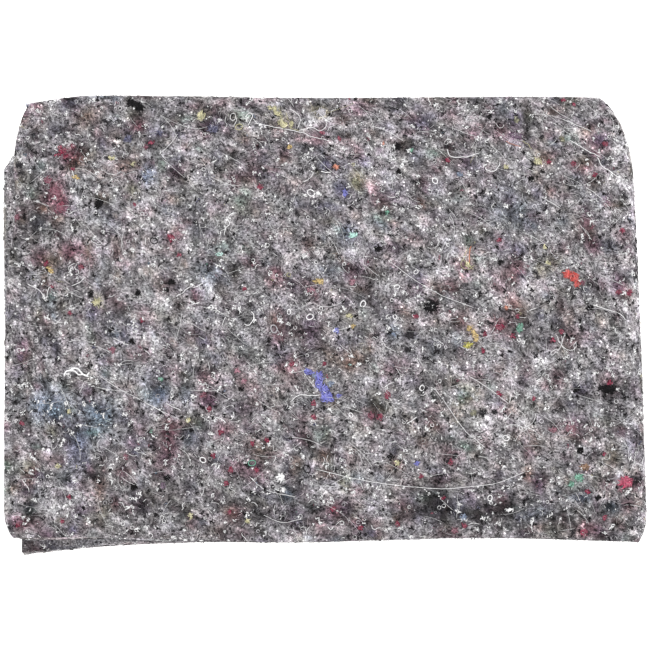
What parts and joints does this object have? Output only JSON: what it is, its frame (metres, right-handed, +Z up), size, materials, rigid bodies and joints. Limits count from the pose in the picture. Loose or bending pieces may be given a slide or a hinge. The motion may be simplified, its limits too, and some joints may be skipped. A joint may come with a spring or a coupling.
{
  "type": "folded felt drop cloth",
  "caption": "Grey recycled-fibre felt drop cloth, folded back and forth into a flat rectangular stack with rolled fold edges and a loose bottom corner.",
  "frame": {"origin": "middle of the base of the folded cloth's bounding box", "axes": "+X along the long side, to the right of someone standing at the open edges; +Y towards the folded back edge; +Z up through the layers"},
  "size_m": [0.4794, 0.345, 0.0469],
  "materials": {
    "grey_felt": "matt needle-punched felt of mixed recycled fibres, with flecks and loose threads"
  },
  "bodies": {
    "root": {"folded_cloth": "grey_felt"}
  },
  "joints": []
}
